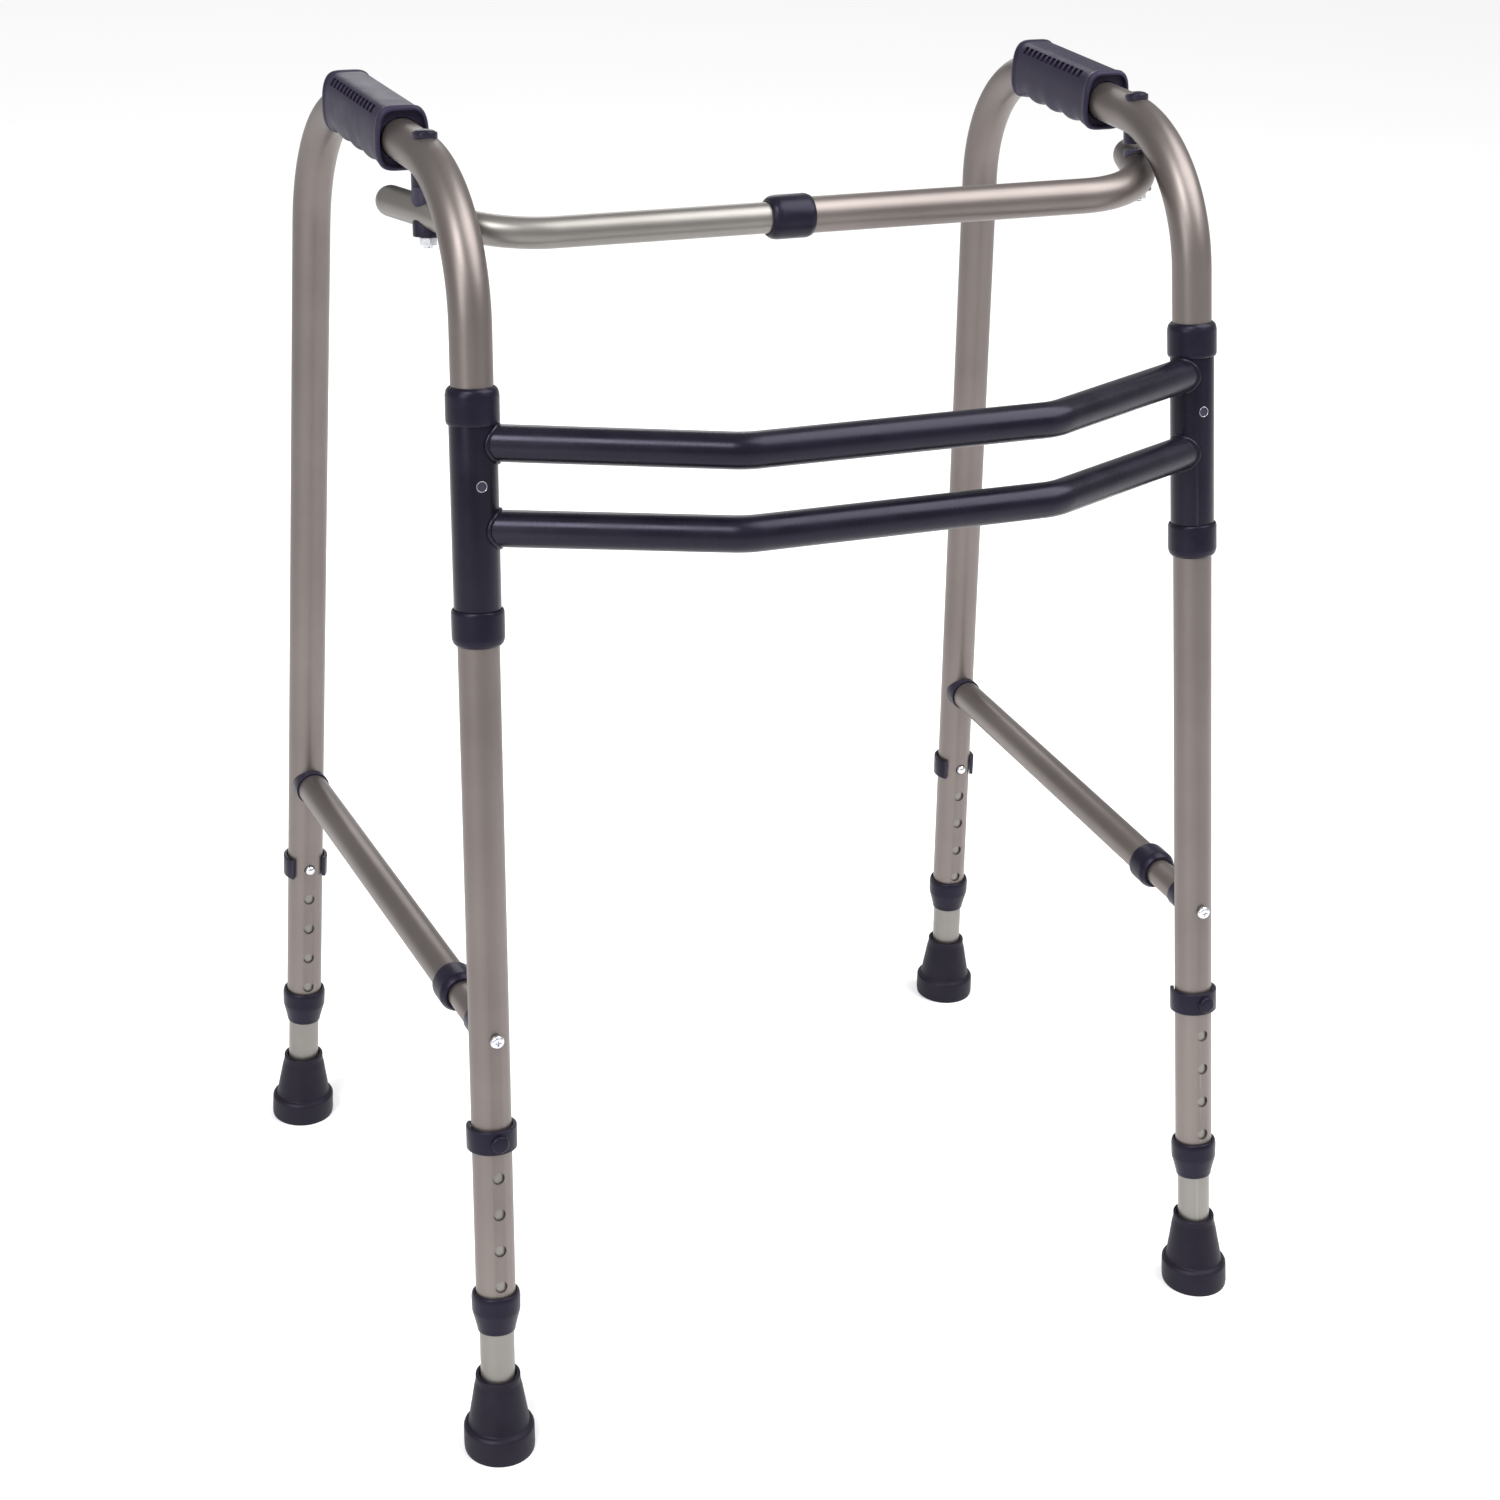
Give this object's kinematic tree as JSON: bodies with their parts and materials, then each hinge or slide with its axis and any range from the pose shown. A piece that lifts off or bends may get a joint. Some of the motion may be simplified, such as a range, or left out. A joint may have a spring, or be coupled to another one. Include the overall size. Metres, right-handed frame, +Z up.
{
  "type": "walking frame",
  "caption": "Folding walking frame: hand grips on bent tube sides, height-adjustable legs with rubber feet, a telescopic top bar and bowed front rails.",
  "frame": {"origin": "on the floor, midway between the four feet", "axes": "+Z up; -Y is the walking direction, and the user stands on the +Y side; +X is to the left of the user"},
  "size_m": [0.6032, 0.4758, 0.8157],
  "materials": {
    "bronze_tube": "satin champagne-grey anodised",
    "silver_tube": "satin light champagne anodised",
    "black_paint": "satin-gloss black powder coat",
    "black_plastic": "moulded, satin",
    "grip_plastic": "moulded, matte",
    "foot_rubber": "matte",
    "zinc_steel": "bright zinc plated"
  },
  "bodies": {
    "crossbar": {"left_lower_sleeve_collar": "black_plastic", "left_sleeve": "black_paint", "left_upper_sleeve_collar": "black_plastic", "lower_rail": "black_paint", "right_lower_sleeve_collar": "black_plastic", "right_sleeve": "black_paint", "right_upper_sleeve_collar": "black_plastic", "upper_rail": "black_paint"},
    "right_frame": {"front_right_leg_collar": "black_plastic", "rear_right_leg_collar": "black_plastic", "right_brace_collar": "black_plastic", "right_brace_front_saddle": "black_plastic", "right_brace_rear_saddle": "black_plastic", "right_brace_screw": "zinc_steel", "right_brace_stub": "bronze_tube", "right_brace_tube": "bronze_tube", "right_grip": "grip_plastic", "right_pivot_cap": "black_plastic", "right_side_tube": "bronze_tube", "right_upper_saddle": "black_plastic"},
    "left_frame": {"front_left_leg_collar": "black_plastic", "left_brace_collar": "black_plastic", "left_brace_front_saddle": "black_plastic", "left_brace_rear_saddle": "black_plastic", "left_brace_screw": "zinc_steel", "left_brace_stub": "bronze_tube", "left_brace_tube": "bronze_tube", "left_grip": "grip_plastic", "left_pivot_bolt": "zinc_steel", "left_pivot_cap": "black_plastic", "left_side_tube": "bronze_tube", "left_upper_saddle": "black_plastic", "rear_left_leg_collar": "black_plastic"},
    "right_pivot": {"right_pivot_bolt": "zinc_steel", "right_pivot_nut": "zinc_steel"},
    "bar_inner": {"bar_inner_tube": "silver_tube", "right_lower_saddle": "black_plastic", "right_swivel_saddle": "black_plastic"},
    "bar_bush": {"bar_guide_bush": "black_plastic"},
    "bar_outer": {"bar_collar": "black_plastic", "bar_outer_tube": "bronze_tube", "left_lower_saddle": "black_plastic", "left_pivot_nut": "zinc_steel", "left_swivel_saddle": "black_plastic"},
    "front_left_leg": {"front_left_clip": "black_plastic", "front_left_foot": "foot_rubber", "front_left_leg_tube": "silver_tube"},
    "front_left_button": {"front_left_snap_button": "zinc_steel"},
    "front_right_leg": {"front_right_clip": "black_plastic", "front_right_foot": "foot_rubber", "front_right_leg_tube": "silver_tube"},
    "front_right_button": {"front_right_snap_button": "zinc_steel"},
    "rear_left_leg": {"rear_left_clip": "black_plastic", "rear_left_foot": "foot_rubber", "rear_left_leg_tube": "silver_tube"},
    "rear_left_button": {"rear_left_snap_button": "zinc_steel"},
    "rear_right_leg": {"rear_right_clip": "black_plastic", "rear_right_foot": "foot_rubber", "rear_right_leg_tube": "silver_tube"},
    "rear_right_button": {"rear_right_snap_button": "zinc_steel"}
  },
  "joints": [
    {"name": "right_fold", "type": "hinge", "parent": "crossbar", "child": "right_frame", "pos_m": [-0.2628, -0.2155, 0], "axis": [-0.0279, -0.159, -0.9869], "range_deg": [0, 82]},
    {"name": "left_fold", "type": "hinge", "parent": "crossbar", "child": "left_frame", "pos_m": [0.2628, -0.2155, 0], "axis": [-0.0279, 0.159, 0.9869], "range_deg": [0, 52]},
    {"name": "bar_pivot_turn", "type": "hinge", "parent": "right_frame", "child": "right_pivot", "pos_m": [-0.2434, -0.02115, 0.7625], "axis": [0.0279, 0.159, 0.9869], "range_deg": [0, 89.69]},
    {"name": "bar_pivot_swing", "type": "hinge", "parent": "right_pivot", "child": "bar_inner", "pos_m": [-0.2434, -0.02115, 0.7625], "axis": [0, -0.0869, -0.9962], "range_deg": [0, 3.52]},
    {"name": "bar_telescope_right", "type": "slide", "parent": "bar_inner", "child": "bar_bush", "axis": [-1, 0, 0], "range_m": [0, 0.07462]},
    {"name": "bar_telescope_left", "type": "slide", "parent": "bar_bush", "child": "bar_outer", "axis": [-1, 0, 0], "range_m": [0, 0.05813]},
    {"name": "front_left_leg_slide", "type": "slide", "parent": "left_frame", "child": "front_left_leg", "axis": [0.0279, -0.159, -0.9869], "range_m": [0, 0.075]},
    {"name": "front_left_button_press", "type": "slide", "parent": "front_left_leg", "child": "front_left_button", "axis": [0, 0.9873, -0.1591], "range_m": [0, 0.005], "stiffness_N_per_m": 600, "deforming": ["front_left_snap_button"]},
    {"name": "front_right_leg_slide", "type": "slide", "parent": "right_frame", "child": "front_right_leg", "axis": [-0.0279, -0.159, -0.9869], "range_m": [0, 0.075]},
    {"name": "front_right_button_press", "type": "slide", "parent": "front_right_leg", "child": "front_right_button", "axis": [0, 0.9873, -0.1591], "range_m": [0, 0.005], "stiffness_N_per_m": 600, "deforming": ["front_right_snap_button"]},
    {"name": "rear_left_leg_slide", "type": "slide", "parent": "left_frame", "child": "rear_left_leg", "axis": [0.0373, 0.0056, -0.9993], "range_m": [0, 0.075]},
    {"name": "rear_left_button_press", "type": "slide", "parent": "rear_left_leg", "child": "rear_left_button", "axis": [0, 1, 0.0056], "range_m": [0, 0.005], "stiffness_N_per_m": 600, "deforming": ["rear_left_snap_button"]},
    {"name": "rear_right_leg_slide", "type": "slide", "parent": "right_frame", "child": "rear_right_leg", "axis": [-0.0373, 0.0056, -0.9993], "range_m": [0, 0.075]},
    {"name": "rear_right_button_press", "type": "slide", "parent": "rear_right_leg", "child": "rear_right_button", "axis": [0, 1, 0.0056], "range_m": [0, 0.005], "stiffness_N_per_m": 600, "deforming": ["rear_right_snap_button"]}
  ],
  "couplings": [
    {"joint": "bar_pivot_turn", "follows": "right_fold", "ratio": 1.0865},
    {"joint": "bar_pivot_swing", "follows": "left_fold", "ratio": 0.05622},
    {"joint": "bar_telescope_right", "follows": "right_fold", "m_per_rad": 0.051582},
    {"joint": "bar_telescope_left", "follows": "left_fold", "m_per_rad": 0.063168}
  ]
}
